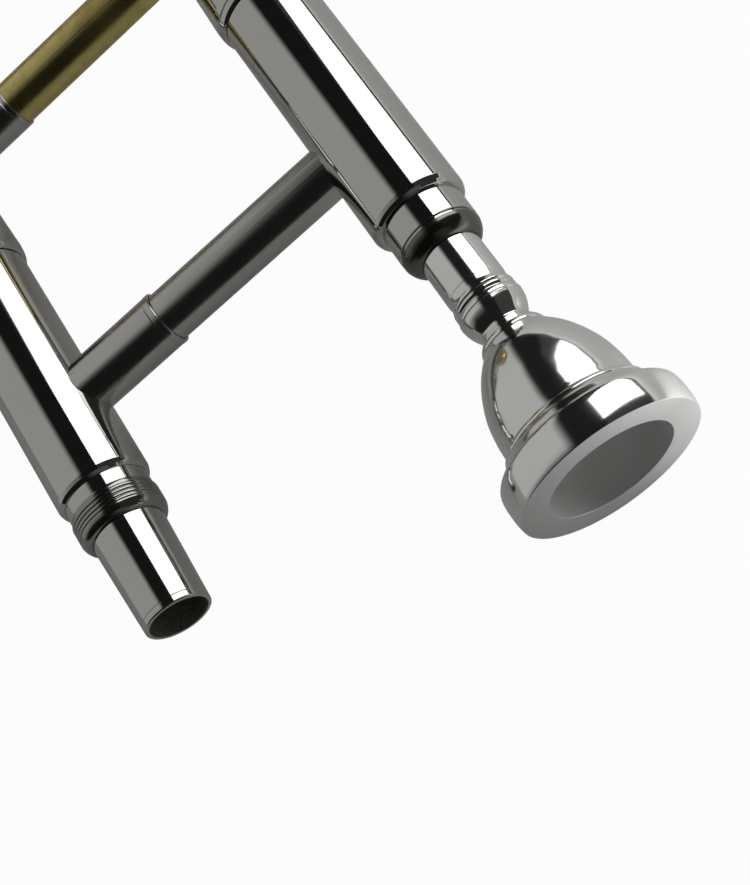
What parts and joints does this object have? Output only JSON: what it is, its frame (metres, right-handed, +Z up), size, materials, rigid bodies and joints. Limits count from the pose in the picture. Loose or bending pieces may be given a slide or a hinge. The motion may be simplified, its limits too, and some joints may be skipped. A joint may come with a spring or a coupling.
{
  "type": "tenor trombone",
  "caption": "Tenor trombone taken apart: closed hand slide with mouthpiece, slide lock and water key, lying beside its bell section with tuning slide and counterweight.",
  "frame": {"origin": "centre of the bounding box's base, on the surface the instrument lies on", "axes": "+X along the closed hand slide towards the player, +Y from the bell section towards the hand slide's mouthpiece side, +Z up"},
  "size_m": [0.8516, 0.3896, 0.2046],
  "materials": {
    "nickel_plate": "polished nickel plate over brass",
    "silver_plate": "polished silver plate",
    "lacquered_brass": "lacquered yellow brass",
    "cork": "natural cork",
    "black_rubber": "matte",
    "steel": "bare"
  },
  "bodies": {
    "frame": {"bell": "lacquered_brass", "bell_ferrule": "nickel_plate", "bell_receiver": "nickel_plate", "bumper_cork_mouthpiece_side": "cork", "bumper_cork_tenon_side": "cork", "front_body_brace": "lacquered_brass", "inner_brace_sleeve": "nickel_plate", "inner_brace_tube": "nickel_plate", "inner_tube_mouthpiece_side": "nickel_plate", "inner_tube_tenon_side": "nickel_plate", "leadpipe": "lacquered_brass", "mouthpiece_barrel": "nickel_plate", "mouthpiece_receiver": "nickel_plate", "neckpipe": "lacquered_brass", "neckpipe_ferrule": "nickel_plate", "rear_body_brace": "lacquered_brass", "tenon_barrel": "nickel_plate", "tenon_collar": "nickel_plate", "tenon_tube": "nickel_plate", "threaded_ring": "nickel_plate", "tuning_leg_bell_side": "nickel_plate", "tuning_leg_neckpipe_side": "nickel_plate"},
    "slide_lock": {"slide_lock_ring": "nickel_plate"},
    "mouthpiece": {"mouthpiece": "silver_plate"},
    "bell_lock_nut": {"bell_lock_nut": "nickel_plate"},
    "hand_slide": {"bow_bumper": "black_rubber", "bow_ferrule_mouthpiece_side": "nickel_plate", "bow_ferrule_tenon_side": "nickel_plate", "bumper_holder": "nickel_plate", "end_sleeve_mouthpiece_side": "nickel_plate", "end_sleeve_tenon_side": "nickel_plate", "outer_brace_sleeve": "nickel_plate", "outer_brace_tube": "lacquered_brass", "outer_tube_mouthpiece_side": "nickel_plate", "outer_tube_tenon_side": "nickel_plate", "slide_bow": "nickel_plate", "slide_lock_stub": "nickel_plate", "water_key_nipple": "nickel_plate", "water_key_saddle": "nickel_plate", "water_key_screw": "steel", "water_key_spring": "steel"},
    "water_key": {"water_key_lever": "nickel_plate", "water_key_cork": "cork"},
    "tuning_slide": {"counterweight": "lacquered_brass", "tuning_bow": "lacquered_brass", "tuning_brace": "lacquered_brass", "tuning_ferrule_bell_side": "nickel_plate", "tuning_ferrule_neckpipe_side": "nickel_plate", "tuning_inner_leg_bell_side": "nickel_plate", "tuning_inner_leg_neckpipe_side": "nickel_plate"}
  },
  "joints": [
    {"name": "hand_slide_travel", "type": "slide", "parent": "frame", "child": "hand_slide", "axis": [-1, 0, 0], "range_m": [0, 0.585]},
    {"name": "slide_lock_turn", "type": "hinge", "parent": "frame", "child": "slide_lock", "pos_m": [0.2914, 0.17613, 0.0187], "axis": [-1, 0, 0], "range_deg": [0, 15]},
    {"name": "water_key_press", "type": "hinge", "parent": "hand_slide", "child": "water_key", "pos_m": [-0.3637, 0.08128, 0.0187], "axis": [0, 0, -1], "range_deg": [0, 10], "stiffness_Nm_per_rad": 0.1, "springref_deg": -20.05},
    {"name": "mouthpiece_pull", "type": "slide", "parent": "frame", "child": "mouthpiece", "axis": [1, 0, 0], "range_m": [0, 0.032]},
    {"name": "tuning_slide_travel", "type": "slide", "parent": "frame", "child": "tuning_slide", "axis": [0.9875, 0, -0.1573], "range_m": [-0.0087, 0.055]},
    {"name": "lock_nut_turn", "type": "hinge", "parent": "frame", "child": "bell_lock_nut", "pos_m": [-0.3958, 0.02678, 0.10231], "axis": [0.9875, 0, -0.1573], "continuous": true}
  ]
}
